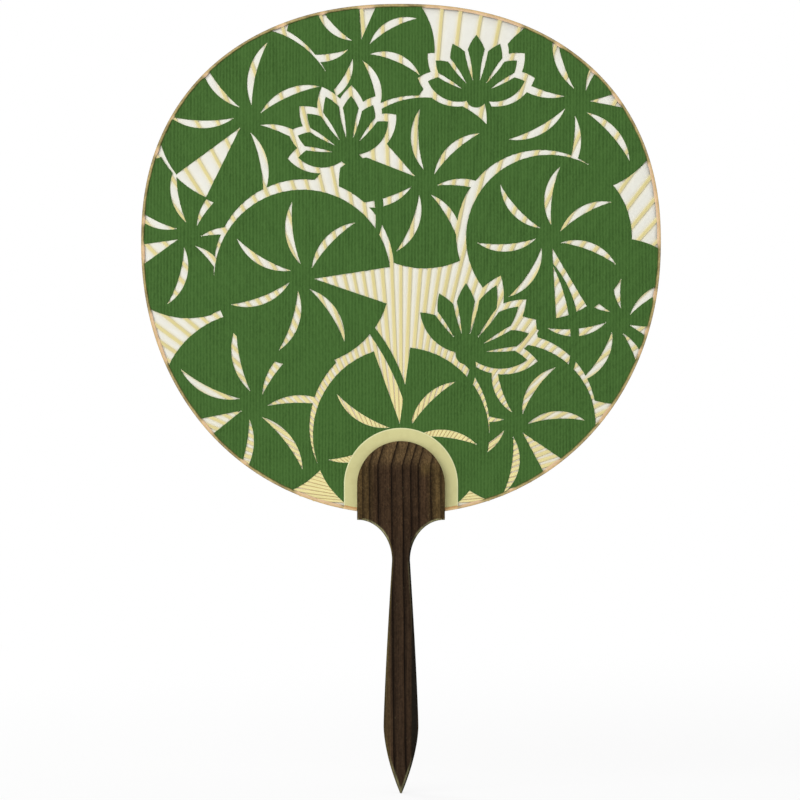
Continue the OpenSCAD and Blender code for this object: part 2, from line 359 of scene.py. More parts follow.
def rim_point(turn, inset):
    """A point of the rim, moved inwards along its normal. The rim is a superellipse, and has its own height and
    its own power above and below its widest line."""
    up = np.sin(turn) >= 0
    rise = np.where(up, TOP_Z - WIDEST_Z, BLADE_DROP)
    power = np.where(up, ROUND_UP, ROUND_DOWN)
    x = HALF_W * signed_power(np.cos(turn), 2 / power)
    z = rise * signed_power(np.sin(turn), 2 / power)
    normal_x = signed_power(np.cos(turn), 2 - 2 / power) / HALF_W
    normal_z = signed_power(np.sin(turn), 2 - 2 / power) / rise
    length = np.hypot(normal_x, normal_z)
    return x - inset * normal_x / length, WIDEST_Z + z - inset * normal_z / length


def rim_reach(lean):
    """How far the rim lies from the ribs' focus in a direction, by halving an interval."""
    low, high = np.zeros_like(lean), np.full_like(lean, 2 * HALF_W)
    for _ in range(HALVINGS):
        middle = (low + high) / 2
        x = middle * np.sin(lean)
        z = FOCUS_Z + middle * np.cos(lean) - WIDEST_Z
        rise = np.where(z >= 0, TOP_Z - WIDEST_Z, BLADE_DROP)
        power = np.where(z >= 0, ROUND_UP, ROUND_DOWN)
        inside = (np.abs(x) / HALF_W) ** power + (np.abs(z) / rise) ** power < 1
        low, high = np.where(inside, middle, low), np.where(inside, high, middle)
    return low


def rib_cover(x, z):
    """1 over a rib, falling as a bell beyond its edges: how much the ribs hold the paper up at a place."""
    lean = np.arctan2(x, z - FOCUS_Z)
    reach = np.hypot(x, z - FOCUS_Z)
    nearest = np.clip(np.round(lean / RIB_PITCH), -RIB_PAIRS, RIB_PAIRS).astype(int) + RIB_PAIRS
    past = np.abs(reach * np.sin(lean - RIB_LEANS[nearest])) - RIB_HOLD * RIB_WIDTHS[nearest]
    return bell(np.maximum(0, past), SAG_FALL)


# Nodes

def empty_tree(owner):
    """The node tree of a material or world, with nothing in it."""
    owner.use_nodes = True
    owner.node_tree.nodes.clear()
    return owner.node_tree


def new_material(name, roughness, gloss=0.1):
    """An empty principled material: the material, its tree and its shader."""
    material = bpy.data.materials.new(name)
    tree = empty_tree(material)
    shader = tree.nodes.new("ShaderNodeBsdfPrincipled")
    shader.inputs["Roughness"].default_value = roughness
    shader.inputs["Specular IOR Level"].default_value = gloss
    out = tree.nodes.new("ShaderNodeOutputMaterial")
    tree.links.new(shader.outputs["BSDF"], out.inputs["Surface"])
    return material, tree, shader


def put(tree, kind, inputs, **settings):
    """Adds a node. Each input is a socket to link or a plain value."""
    node = tree.nodes.new(kind)
    for key, value in settings.items():
        setattr(node, key, value)
    for key, value in inputs.items():
        if isinstance(value, bpy.types.NodeSocket):
            tree.links.new(value, node.inputs[key])
        else:
            node.inputs[key].default_value = value
    return node


def calc(tree, operation, a, b=0.0, c=0.0):
    """A Math node's result."""
    return put(tree, "ShaderNodeMath", {0: a, 1: b, 2: c}, operation=operation).outputs[0]


def colour(value):
    """A colour with its alpha, unless it is a socket."""
    return value if isinstance(value, bpy.types.NodeSocket) else (*map(float, value), 1.0)


def mix(tree, share, a, b, how="MIX"):
    """A colour between a and b."""
    inputs = {0: share, 6: colour(a), 7: colour(b)}
    return put(tree, "ShaderNodeMix", inputs, data_type="RGBA", blend_type=how).outputs[2]


def times(tree, a, b):
    """Two colours multiplied."""
    return mix(tree, 1.0, a, b, "MULTIPLY")


def noise(tree, where, detail=2.0, rough=0.5):
    """A noise texture's value, 0 to 1, at a place."""
    inputs = {"Vector": where, "Scale": 1.0, "Detail": detail, "Roughness": rough}
    return put(tree, "ShaderNodeTexNoise", inputs).outputs[0]


def object_place(tree):
    """The place on the object, in metres."""
    return put(tree, "ShaderNodeTexCoord", {}).outputs["Object"]


def scaled(tree, place, scale):
    """A place with each axis scaled: for noise, about its spots in a metre."""
    return put(tree, "ShaderNodeMapping", {"Vector": place, "Scale": scale}).outputs[0]


def spots(tree, scale, detail=2.0, rough=0.5):
    """Noise on the object, with about so many spots in a metre along each axis."""
    return noise(tree, scaled(tree, object_place(tree), scale), detail, rough)


def ease(tree, value, low, high, most=1.0):
    """0 below low and most above high, smoothly between."""
    inputs = {"Value": value, "From Min": low, "From Max": high, "To Max": most}
    return put(tree, "ShaderNodeMapRange", inputs, interpolation_type="SMOOTHSTEP").outputs[0]


def stored_value(tree, name):
    """A number stored on the points."""
    return put(tree, "ShaderNodeAttribute", {}, attribute_name=name).outputs["Fac"]


def stored_tint(tree):
    """The colour stored on the points."""
    return put(tree, "ShaderNodeVertexColor", {}, layer_name="tint").outputs["Color"]


def bump(tree, shader, height, depth, strength):
    """Raises the shader's surface by a height, with 1 standing for depth in metres."""
    inputs = {"Height": height, "Distance": depth, "Strength": strength}
    tree.links.new(put(tree, "ShaderNodeBump", inputs).outputs[0], shader.inputs["Normal"])


# Materials

def green_material():
    """Thick laid paper, dyed green: upright laid lines a little lighter and darker, over soft mottling.
    Along a cut edge it is darkened by a painted shade, and it is pale at the very edge."""
    material, tree, shader = new_material("green_laid_paper", 0.9)
    x = put(tree, "ShaderNodeSeparateXYZ", {0: object_place(tree)}).outputs[0]
    waver = calc(tree, "MULTIPLY", spots(tree, (160, 1, 14), 3.0), 6.0)
    phase = calc(tree, "MULTIPLY_ADD", x, 2 * math.pi / LAID_PITCH, waver)
    line = calc(tree, "MULTIPLY_ADD", calc(tree, "SINE", phase), 0.5, 0.5)
    streak = spots(tree, (900, 1, 40), 3.0)
    fibre = spots(tree, (1500, 1500, 700), 3.0, 0.7)
    mottle = spots(tree, (60, 1, 60), 4.0, 0.6)
    tone = calc(tree, "MULTIPLY_ADD", line, 0.27, calc(tree, "MULTIPLY", streak, 0.4))
    tone = calc(tree, "ADD", tone, calc(tree, "MULTIPLY_ADD", fibre, 0.85, -0.16))
    shade = mix(tree, ease(tree, mottle, 0.35, 0.65), GREEN_DARK, GREEN)
    shade = mix(tree, ease(tree, tone, 0.25, 0.85), shade, GREEN_LIGHT)
    edge = stored_value(tree, "edge")
    # Painted shade: a dark band along the cut edges
    shade = mix(tree, ease(tree, edge, 0, 0.6, 0.55), shade, GREEN_DARK * 0.75)
    shade = mix(tree, ease(tree, edge, 0.68, 0.8), shade, PALE_GREEN)
    tree.links.new(shade, shader.inputs["Base Color"])
    bump(tree, shader, calc(tree, "MULTIPLY_ADD", fibre, 0.8, line), 0.05 * MM, 0.8)
    return material


def cut_edge_material():
    """The cut edge of the green paper, where the dye is thinner."""
    material, tree, shader = new_material("green_paper_cut_edge", 0.95)
    grain = spots(tree, (800, 800, 800))
    tree.links.new(mix(tree, ease(tree, grain, 0.2, 0.5), GREEN, PALE_GREEN), shader.inputs["Base Color"])
    return material


def white_material():
    """Thin handmade paper: long fibres and clouds that are hardly darker than the sheet, and a share of the
    ribs' colour where they lie behind it."""
    material, tree, shader = new_material("white_handmade_paper", 0.92)
    cloud = spots(tree, (90, 90, 90), 4.0, 0.6)
    fibre = spots(tree, (420, 420, 1100), 5.0, 0.75)
    shade = mix(tree, ease(tree, cloud, 0.3, 0.7), WHITE, WHITE * (0.965, 0.955, 0.93))
    shade = mix(tree, ease(tree, fibre, 0.58, 0.72), shade, WHITE * 0.93)
    shade = mix(tree, calc(tree, "MULTIPLY", stored_value(tree, "over_rib"), 0.45), shade, RIB_EDGE)
    tree.links.new(shade, shader.inputs["Base Color"])
    bump(tree, shader, fibre, 0.03 * MM, 0.6)
    return material


def bamboo_material():
    """Split bamboo: pale straw with fine dark fibres and warmer stretches along the rib."""
    material, tree, shader = new_material("split_bamboo", 0.6, 0.2)
    uv = put(tree, "ShaderNodeUVMap", {}, uv_map="along_rib").outputs[0]
    fibre = noise(tree, scaled(tree, uv, (9, 60, 1)), 4.0, 0.65)
    patchy = noise(tree, scaled(tree, uv, (1.5, 22, 1)))
    shade = mix(tree, ease(tree, fibre, 0.45, 0.75, 0.22), stored_tint(tree), FIBRE_DARK)
    shade = mix(tree, ease(tree, patchy, 0.5, 0.8, 0.25), shade, FIBRE_WARM)
    tree.links.new(shade, shader.inputs["Base Color"])
    bump(tree, shader, fibre, 0.03 * MM, 0.5)
    return material


def strip_material(name, blotches):
    """Thin glued paper over something else: its stored colour, with soft blotches and fine fibres."""
    material, tree, shader = new_material(name, 0.85)
    tint = stored_tint(tree)
    dark = times(tree, tint, (0.80, 0.76, 0.68))
    blotch = spots(tree, (220, 220, 220), 3.0, 0.6)
    fibre = spots(tree, (1600, 1600, 1600), 3.0, 0.7)
    shade = mix(tree, ease(tree, blotch, 0.42, 0.68, blotches), tint, dark)
    shade = mix(tree, ease(tree, fibre, 0.5, 0.8, 0.25), shade, dark)
    tree.links.new(shade, shader.inputs["Base Color"])
    bump(tree, shader, fibre, 0.04 * MM, 0.6)
    return material


def cedar_material():
    """Charred and brushed cedar: growth rings in the stored colour, with fine upright grain, soot and a grit.
    The grit is stronger on the head, which is brushed harder."""
    material, tree, shader = new_material("charred_cedar", 0.62, 0.02)
    tint = stored_tint(tree)
    dark = times(tree, tint, (0.42, 0.40, 0.38))
    pale = times(tree, tint, (1.75, 1.68, 1.55))
    grain = spots(tree, (2400, 1500, 70), 4.0, 0.6)
    streak = spots(tree, (700, 500, 16), 3.0, 0.6)
    soot = spots(tree, (520, 520, 300), 4.0, 0.7)
    grit = spots(tree, (1500, 1500, 1000), 2.0, 0.7)
    speck = spots(tree, (1100, 1100, 620), 1.0)
    up = put(tree, "ShaderNodeSeparateXYZ", {0: object_place(tree)}).outputs[2]
    brushed = calc(tree, "MULTIPLY_ADD", ease(tree, up, 85 * MM, 100 * MM), 0.2, 0.36)
    shade = mix(tree, ease(tree, grain, 0.42, 0.66, 0.7), tint, dark)
    shade = mix(tree, ease(tree, streak, 0.5, 0.72, 0.6), shade, pale)
    shade = mix(tree, ease(tree, grit, 0.5, 0.66, brushed), shade, dark)
    shade = mix(tree, ease(tree, grit, 0.46, 0.34, brushed), shade, pale)
    shade = mix(tree, ease(tree, soot, 0.5, 0.7, 0.5), shade, dark)
    shade = mix(tree, ease(tree, speck, 0.72, 0.86, 0.24), shade, WORN * 0.5)
    tree.links.new(shade, shader.inputs["Base Color"])
    bump(tree, shader, calc(tree, "MULTIPLY_ADD", soot, 0.6, grain), 0.14 * MM, 0.8)
    tree.links.new(calc(tree, "MULTIPLY_ADD", soot, 0.3, 0.42), shader.inputs["Roughness"])
    return material


# The front paper, with its openings taken from the frame's node

def face_outline(node, depth):
    """The boundary of a node's flat face at a depth: places across and up, and the edges that join them.
    They are the sides of the face's triangles that no other triangle has the other way round."""
    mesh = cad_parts[node].data
    mesh.calc_loop_triangles()
    points, which = np.unique(np.round(mesh_points(mesh), 7), axis=0, return_inverse=True)
    corners = np.zeros(len(mesh.loop_triangles) * 3, np.int64)
    mesh.loop_triangles.foreach_get("vertices", corners)
    corners = which.ravel()[corners].reshape(-1, 3)
    corners = corners[(np.abs(points[corners, 1] - depth) < 1e-6).all(1)]
    sides = np.concatenate([corners[:, [0, 1]], corners[:, [1, 2]], corners[:, [2, 0]]])
    key, turned = sides @ [len(points), 1], sides @ [1, len(points)]
    return points[:, [0, 2]], sides[~np.isin(key, turned)]


def finer(places, sides, step):
    """Cuts each side into equal stretches no longer than step."""
    start, end = places[sides[:, 0]], places[sides[:, 1]]
    counts = np.maximum(1, np.ceil(np.hypot(*(end - start).T) / step)).astype(int)
    side, place = runs(counts)
    share = np.stack([place, place + 1]) / counts[side]
    ends = start[side] + (end - start)[side] * share[..., None]
    merged, index = np.unique(np.round(ends.reshape(-1, 2), 8), axis=0, return_inverse=True)
    return merged, index.reshape(2, -1).T


def inside_outline(tried, places, sides):
    """True where a place lies inside the outline: a ray to the right crosses its sides an odd number of
    times. Each side is set against the places between the heights of its ends."""
    ends = places[sides]
    ends = np.take_along_axis(ends, ends[:, :, 1:].argsort(1), 1)
    low, high = ends[:, 0], ends[:, 1]
    order = np.argsort(tried[:, 1])
    first, last = np.searchsorted(tried[order, 1], [low[:, 1], high[:, 1]])
    side, place = runs(last - first)
    one = order[first[side] + place]
    share = (tried[one, 1] - low[side, 1]) / (high[side, 1] - low[side, 1])
    crossed = tried[one, 0] < low[side, 0] + (high[side, 0] - low[side, 0]) * share
    return np.bincount(one[crossed], minlength=len(tried)) % 2 == 1


def inner_band(places, sides, width):
    """Places set in from the outline's points, square to it: the paper lies on the left of each side."""
    along = places[sides[:, 1]] - places[sides[:, 0]]
    length = np.hypot(*along.T)[:, None]
    inwards = np.stack([-along[:, 1], along[:, 0]], 1) / np.maximum(length, SAME_PLACE)
    total = np.zeros_like(places)
    np.add.at(total, sides[:, 0], inwards)
    np.add.at(total, sides[:, 1], inwards)
    size = np.hypot(*total.T)[:, None]
    return places + total / np.maximum(size, SAME_PLACE) * width


green_places, green_sides = finer(*face_outline("front_sheet", FRONT_Y), EDGE_STEP)


def paper_net():
    """The points within the green paper: a net of fine angles and wide steps about the ribs' focus, and a band
    along its edges."""
    half_turn = (RIB_PAIRS + 0.5) * RIB_PITCH
    lean, reach = np.meshgrid(
        np.arange(-half_turn, half_turn, RIB_PITCH / FINE_ANGLES),
        np.arange(RIB_START, 2 * HALF_W, REACH_STEP),
    )
    net = np.stack([reach * np.sin(lean), FOCUS_Z + reach * np.cos(lean)], -1).reshape(-1, 2)
    net = np.concatenate([net, inner_band(green_places, green_sides, EDGE_BAND)])
    return net[inside_outline(net, green_places, green_sides)]


def front_paper():
    """The cut paper: triangles between its outline and its net. It lies on the ribs, sinks between them by
    rib_cover's bell, and is pressed thinner along its cut edges."""
    every = np.concatenate([green_places, paper_net()]) / MM
    flat, _, faces, *_ = delaunay_2d_cdt(every.tolist(), green_sides.tolist(), [], 0, 1e-5)
    flat, faces = np.array(flat) * MM, np.array(faces)
    faces = faces[inside_outline(flat[faces].mean(1), green_places, green_sides)]
    used, faces = np.unique(faces, return_inverse=True)
    flat = flat[used]
    # Places as complex numbers can be looked up in each other
    key, outline_key = (np.round(places / MM, 4) @ [1, 1j] for places in (flat, green_places))
    on_edge = np.isin(key, outline_key)
    sag = SAG_FRONT * (1 - rib_cover(*flat.T)) + (1 - EDGE_SHARE) * PAPER_T * on_edge
    points = np.stack([flat[:, 0], FRONT_Y + sag, flat[:, 1]], 1)
    materials = [green_material(), cut_edge_material()]
    piece = mesh_piece("front_paper", points, faces.reshape(-1, 3).tolist(), materials)
    face_towards(piece, -1)
    give_value(piece, "edge", on_edge)
    full = piece.vertex_groups.new(name="thickness")
    full.add(np.flatnonzero(~on_edge).tolist(), 1.0, "REPLACE")
    solid = thicken(piece, PAPER_T)
    solid.vertex_group = full.name
    solid.thickness_vertex_group = EDGE_SHARE
    solid.material_offset_rim = 1
    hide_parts("front_sheet")


def back_paper():
    """The back paper: a fan of rays about the ribs' focus, each cut at the rim. It sinks between the ribs."""
    half_turn = (RIB_PAIRS + 1) * RIB_PITCH
    fan = np.linspace(-half_turn, half_turn, BACK_ANGLES)
    below = np.linspace(half_turn, 2 * math.pi - half_turn, BELOW_ANGLES)[1:-1]
    lean = np.concatenate([fan, below])
    share = np.concatenate([[0, 0.02], np.linspace(0.05, 1, 36)])[:, None]
    reach = rim_reach(lean) * share
    x, z = reach * np.sin(lean), FOCUS_Z + reach * np.cos(lean)
    free = smooth_step(reach, 0, 2 * RIB_START) * smooth_step(1 - share, 0, 0.012)
    sag = SAG_BACK * (1 - rib_cover(x, z)) * free
    points = np.stack([x, BACK_Y - sag, z], -1)
    piece = mesh_piece("back_paper", points, grid_faces(*x.shape, around=True).tolist(), [white_material()])
    turn_outwards(piece)
    face_towards(piece, 1)
    x, _, z = mesh_points(piece.data).T
    give_value(piece, "over_rib", rib_cover(x, z))
    thicken(piece, PAPER_T)
    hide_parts("back_sheet")


# The ribs

def rib_strip(index):
    """One rib: a superellipse section carried from the head to the rim, and narrowed where the ribs crowd
    together. Gives its points, and for each its share across the rib and its distance along it."""
    lean = RIB_LEANS[index]
    end = rim_reach(lean + np.array([-END_ANGLE, 0, END_ANGLE])).min() - RIB_END_GAP
    along = RIB_START + (end - RIB_START) * np.linspace(0, 1, RIB_STATIONS)[:, None] ** STATION_POWER
    crowded = smooth_step(along, 30 * MM, 60 * MM)
    room = along * 2 * math.tan(RIB_PITCH / 2) - RIB_GAP
    half = np.minimum(room, RIB_W + (RIB_WIDTHS[index] - RIB_W) * crowded) / 2
    turn = np.linspace(0, 2 * math.pi, RIB_SIDES + 1)[:-1]
    across = signed_power(np.cos(turn), ROUND_ACROSS)
    side = half * across
    y = (RIB_BACK_Y - RIB_FRONT_Y) / 2 * signed_power(np.sin(turn), ROUND_DEEP)
    x = along * math.sin(lean) + side * math.cos(lean)
    z = FOCUS_Z + along * math.cos(lean) - side * math.sin(lean)
    across, along, y = np.broadcast_arrays(across, along, y, side)[:3]
    return np.stack([x, y, z], -1), across, along


def ribs(node, indices, material, seed):
    """The ribs of one node as one piece, of its own tone, with its grain shifted from rib to rib."""
    points, across, along = (np.stack(part) for part in zip(*map(rib_strip, indices)))
    strip_size = RIB_STATIONS * RIB_SIDES
    strips = [tube_faces(RIB_STATIONS, RIB_SIDES, turn * strip_size) for turn in range(len(indices))]
    piece = mesh_piece(node + "_strips", points, sum(strips, []), [material])
    turn_outwards(piece, merge=False)
    across, along = across.ravel(), along.ravel()
    free = smooth_step(along, 45 * MM, 95 * MM)
    # Painted shade: where the ribs crowd, their sides turn brown for the shadow in the gaps between them
    root = blend(RIB_ROOT, RIB_GAP_SHADE, smooth_step(np.abs(across), 0.8, 0.97))
    body = blend(RIB, RIB_EDGE, np.abs(across) ** 2 * 0.8)
    tone = 1 + np.random.RandomState(seed).uniform(-TONE_ERROR, TONE_ERROR)
    give_tint(piece, (root + (body - root) * free[:, None]) * tone)
    place = np.stack([across, along + np.repeat(indices, strip_size) * GRAIN_SHIFT], 1)
    corner = np.zeros(len(piece.data.loops), np.int64)
    piece.data.loops.foreach_get("vertex_index", corner)
    uv = piece.data.uv_layers.new(name="along_rib")
    uv.data.foreach_set("uv", place[corner].astype(np.float32).ravel())
    piece.data.set_sharp_from_angle(angle=math.radians(50))
    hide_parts(node)


def all_ribs():
    """The middle rib and each pair of ribs, as the frame names them."""
    material = bamboo_material()
    ribs("rib_centre", [RIB_PAIRS], material, 100)
    for pair in range(1, RIB_PAIRS + 1):
        ribs(f"rib_pair_{pair}", [RIB_PAIRS - pair, RIB_PAIRS + pair], material, 100 + pair)


# The binding and the patches

def binding_stations():
    """Where the binding's stations lie round the rim, from one side of the head to the other, and for each
    how much of a patch and of the green paper lies under it."""
    fine = np.linspace(-math.pi / 2, 1.5 * math.pi, RIM_POINTS)
    x, z = rim_point(fine, 0)
    bound = fine[(np.abs(x) > HEAD_R + 0.1 * MM) | (z > WIDEST_Z)]
    turn = np.linspace(bound[0], bound[-1], RIM_STATIONS)
    x, z = rim_point(turn, 0)
    on_patch = smooth_step(-np.abs(x), -PATCH_R - 0.3 * MM, -PATCH_R + 0.1 * MM) * (z < ARCH_Z)
    beside = np.stack(rim_point(turn, 2 * BINDING_W), 1)
    on_green = inside_outline(beside, green_places, green_sides).astype(float)
    on_green = np.convolve(on_green, np.ones(5) / 5, "same") * (1 - on_patch)
    return turn, on_patch, on_green


def edge_binding():
    """The folded strip: a thin U section carried round the rim, narrower over the green and raised over the
    patches. It takes its colour from what lies under it, partly painted shade towards its borders, with a
    painted highlight on its middle over the green and a mottle that is strongest over the green."""
    turn, on_patch, on_green = (values[:, None] for values in binding_stations())
    waver = BINDING_WAVER * ripple(turn, (0.9, 0.37, 0.16, 0.07), 5)
    width = BINDING_W * (1 + waver) * (1 - BINDING_TUCK * on_green)
    lining = [(1, 1, 0), (1, 0, 0), (-1, 0, 0), (-1, 1, 0)]
    front, back = ([(side, *point) for point in FLAP[::-side]] for side in (-1, 1))
    side, depth, rise = np.array(front + [(0, *point) for point in FOLD] + back + lining).T
    x, z = rim_point(turn, depth * np.where(side == 0, BINDING_T, width))
    flap_y = side * (BACK_Y + on_patch * PATCH_T + rise * BINDING_T)
    y = np.where(side == 0, rise * (BACK_Y + BINDING_T), flap_y)
    material = strip_material("binding_paper", 0.5)
    piece = mesh_piece("rim_binding", np.stack([x, y, z], -1), tube_faces(*x.shape), [material])
    turn_outwards(piece, merge=False)
    share = np.maximum(depth, 0)
    # Towards the inner edge: partly the paper under the strip, partly painted shade along its borders
    inwards = smooth_step(share, 0.05, 1.0)
    white, green, patch = (blend(*colours, inwards) for colours in (BIND_WHITE, BIND_GREEN, BIND_PATCH))
    # Painted highlight on the strip's raised middle over the green
    green = blend(green, BIND_GREEN_HIGHLIGHT, bell(share - 0.42, 0.25))
    base = white + (green - white) * on_green[..., None]
    base = base + (patch - base) * on_patch[..., None]
    in_front = np.arange(len(side)) < BINDING_FRONT
    colours = np.where(in_front[:, None], base, white)
    mottle = ripple(turn + 0.02 * inwards, (0.31, 0.13, 0.071, 0.043, 0.027, 0.017, 0.012), 8)
    colours = colours * (1 + BINDING_MOTTLE * mottle * (0.25 + 0.75 * on_green))[..., None]
    give_tint(piece, colours.reshape(-1, 3))
    piece.data.set_sharp_from_angle(angle=math.radians(60))
    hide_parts("edge_binding")


def base_patch(name, node, side):
    """A base patch: lines from its outline to the middle, up one leg, round the arch and down the other
    leg. It is flat, with its outer edge rolled down to the paper, and its foot follows the rim."""
    leg = np.linspace(0, 1, 16)[:-1]
    arch = np.linspace(math.pi, 0, 97)
    climb = np.r_[leg, np.ones(len(arch)), leg[::-1]][:, None]
    turn = np.r_[np.full(len(leg), math.pi), arch, np.zeros(len(leg))][:, None]
    share = np.r_[0, 0.002, 0.005, 0.01, 0.016, 0.024, 0.045, np.linspace(0.08, 1, 12)]
    x = PATCH_R * np.cos(turn) * (1 - share)
    foot = np.interp(x, *rim_point(np.linspace(-math.pi, 0, RIM_POINTS), 0))
    z = foot + climb * (ARCH_Z + PATCH_R * np.sin(turn) * (1 - share) - foot)
    rolled = np.sqrt(smooth_step(PATCH_R * share, -0.05 * MM, 0.25 * MM))
    under = FRONT_Y if side < 0 else BACK_Y
    y = np.broadcast_to(under + side * PATCH_T * (0.25 + 0.75 * rolled), x.shape)
    material = strip_material("cream_patch_paper", 0.2)
    piece = mesh_piece(name, np.stack([x, y, z], -1), grid_faces(*x.shape).tolist(), [material])
    turn_outwards(piece)
    face_towards(piece, side)
    x, _, z = np.abs(mesh_points(piece.data).T)
    edge = PATCH_R - np.where(z > ARCH_Z, np.hypot(x, z - ARCH_Z), x)
    # A painted highlight: a pale ring along the patch's outer edge
    give_tint(piece, blend(PATCH_EDGE_HIGHLIGHT, PATCH, smooth_step(edge, 0.3 * MM, 0.62 * MM)))
    thicken(piece, PATCH_T * 0.9)
    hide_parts(node)


# The handle

def grip_half(z):
    """Half the grip's width: a full curve down to the tip, and a long taper up to the neck."""
    down = np.clip(-z / -TIP_Z, 0, 1)
    up = np.clip(z / NECK_Z, 0, 1)
    below = TIP_R + (GRIP_R - TIP_R) * (1 - down**TIP_FULLNESS)
    above = GRIP_R - (GRIP_R - NECK_R) * up**NECK_FULLNESS
    return np.where(z < 0, below, above)


def half_thickness(z):
    """Half the handle's thickness: thinned to the tip, and bevelled over the top of the head."""
    down = np.clip(-z / -TIP_Z, 0, 1)
    bevel = np.clip((z - HANDLE_TOP_Z + BEVEL_H) / BEVEL_H, 0, 1)
    return HANDLE_T - (HANDLE_T - TIP_T) * down**2 - (HANDLE_T - HEAD_TOP_T) * bevel


def grip_edge(x, z):
    """On the grip: the distance to the outline, square to it, and the width of the chamfer there."""
    half = grip_half(z)
    slope = (grip_half(z + 0.1 * MM) - grip_half(z - 0.1 * MM)) / (0.2 * MM)
    chamfer = np.maximum(LEAST_CHAMFER, half - FLAT_R)
    chamfer = np.minimum(chamfer, CHAMFER_SHARE * np.minimum(half, half_thickness(z)))
    return (half - np.abs(x)) / np.hypot(1, slope), chamfer


def cove_edge(x, z):
    """Above the neck: the distance to the hollow curve, which is a quarter of an ellipse."""
    across = np.maximum(0, NECK_R + COVE_R - np.abs(x)) / COVE_R
    up = (z - NECK_Z) / COVE_H
    ring = np.hypot(across, up)
    steep = np.hypot(across / COVE_R, up / COVE_H) / np.maximum(ring, 1e-6)
    return (ring - 1) / np.maximum(steep, 1e-6)


def edge_loss(x, z):
    """How much a chamfer or eased edge takes off the face: its width less the distance to the outline."""
    grip_away, chamfer = grip_edge(x, z)
    head_away = HEAD_R - np.where(z > ARCH_Z, np.hypot(x, z - ARCH_Z), np.abs(x))
    head_loss = np.maximum(LEAST_CHAMFER - cove_edge(x, z), HEAD_EDGE - head_away)
    return np.maximum(0, np.where(z < NECK_Z, chamfer - grip_away, head_loss))


def ring_place(x, y, z):
    """A place across the growth rings, which lean in depth and along the handle, and waver a little."""
    waver = RING_WAVER * ripple(z, (120 * MM, 47 * MM), 3)
    return x - RING_TILT * (y + HANDLE_T) + RING_LEAN * (z - ARCH_Z) + waver


def ring_dark(place):
    """The rings' darkness, 0 to 1: each is sharp on its left and fades over a few millimetres to its right."""
    dark = np.zeros_like(place)
    for centre, strength in RINGS:
        away = place - centre * MM
        right = 0.42 * bell(away, RING_CORE) + 0.58 * np.exp(-np.maximum(0, away) / RING_TAIL)
        dark = np.maximum(dark, strength * np.where(away > 0, right, bell(away, RING_SHARP)))
    return dark


def ring_groove(place):
    """The rings' relief, 0 to 1: a narrow groove just to the right of each dark line's sharp side."""
    deep = np.zeros_like(place)
    for centre, strength in RINGS:
        deep = np.maximum(deep, strength * bell(place - centre * MM - GROOVE_SHIFT, GROOVE_R))
    return deep


def lower_rows():
    """The rows from the tip up to the slot's floor: each one's half width, height at the sides and height in
    the middle."""
    grip_z = np.r_[np.linspace(TIP_Z, 0, 34)[:-1], np.linspace(0, NECK_Z, 54)]
    grip = np.stack([grip_half(grip_z), grip_z, grip_z], 1)
    share = np.linspace(0, 1, 25)[1:]
    turn = share * math.pi / 2
    cove_z = NECK_Z + COVE_H * np.sin(turn)
    cove = np.stack([NECK_R + COVE_R * (1 - np.cos(turn)), cove_z, cove_z + ROW_BOW * share**2], 1)
    cove_top, ledge_end, ledge_bow = NECK_R + COVE_R, HEAD_Z + ROW_BOW, 0.4 * MM
    steps = np.linspace(0, 1, 7)[1:]
    level = np.full(len(steps), HEAD_Z)
    ledge = np.stack([cove_top + (HEAD_R - cove_top) * steps, level, ledge_end + ledge_bow * steps], 1)
    side_z = HEAD_Z + (SLOT_Z - HEAD_Z) * steps
    middle_z = ledge_end + ledge_bow + (SLOT_Z - ledge_end - ledge_bow) * steps
    side = np.stack([np.full(len(steps), HEAD_R), side_z, middle_z], 1)
    return np.concatenate([grip, cove, ledge, side])


def upper_rows():
    """The same for the rows beside the slot, up to the top of the head."""
    bevel_turn = math.asin((HANDLE_TOP_Z - BEVEL_H - ARCH_Z) / HEAD_R)
    turn = np.unique(np.r_[np.linspace(0, bevel_turn, 12), np.linspace(bevel_turn, math.pi / 2, 30)])
    straight = np.linspace(SLOT_Z, ARCH_Z, 14)[:-1]
    height = np.r_[straight, ARCH_Z + HEAD_R * np.sin(turn)]
    half = np.r_[np.full(len(straight), HEAD_R), HEAD_R * np.cos(turn)]
    half[-1] = 0
    return np.stack([half, height, height], 1)


def face_points(rows, side):
    """One face of the handle on a grid: rows bowed from their height at the sides to that in the middle.
    The face lies at half the thickness, less its chamfers and the grooves."""
    half, side_z, middle_z = rows.T[..., None]
    u = np.linspace(-1, 1, FACE_COLS)
    x = half * u
    z = middle_z + (side_z - middle_z) * u**2
    depth = half_thickness(z) - edge_loss(x, z)
    groove = GROOVE_DEPTH * ring_groove(ring_place(x, side * depth, z))
    settle = smooth_step(np.minimum(depth, half), 0.6 * MM, 3 * MM) * smooth_step(1 - np.abs(u), 0, 0.05)
    return np.stack([x, side * (depth - groove * settle), z], -1)


def walled(one, other, cuts):
    """Joins two faces into a closed ring in each row, by walls cut at the given shares."""
    there = one[:, -1:] + (other[:, :1] - one[:, -1:]) * cuts[:, None]
    back = other[:, -1:] + (one[:, :1] - other[:, -1:]) * cuts[:, None]
    return np.concatenate([one, there, other, back], 1)


def cheek(side):
    """The wall on one side of the slot: its outer face, and the flat side of the slot."""
    face = face_points(upper_rows(), side)
    slot = face[:, [-1, FACE_COLS // 2, 0]] * (1, 0, 1) + (0, side * SLOT_Y, 0)
    return walled(face, slot, WALL_CUTS[1::2])


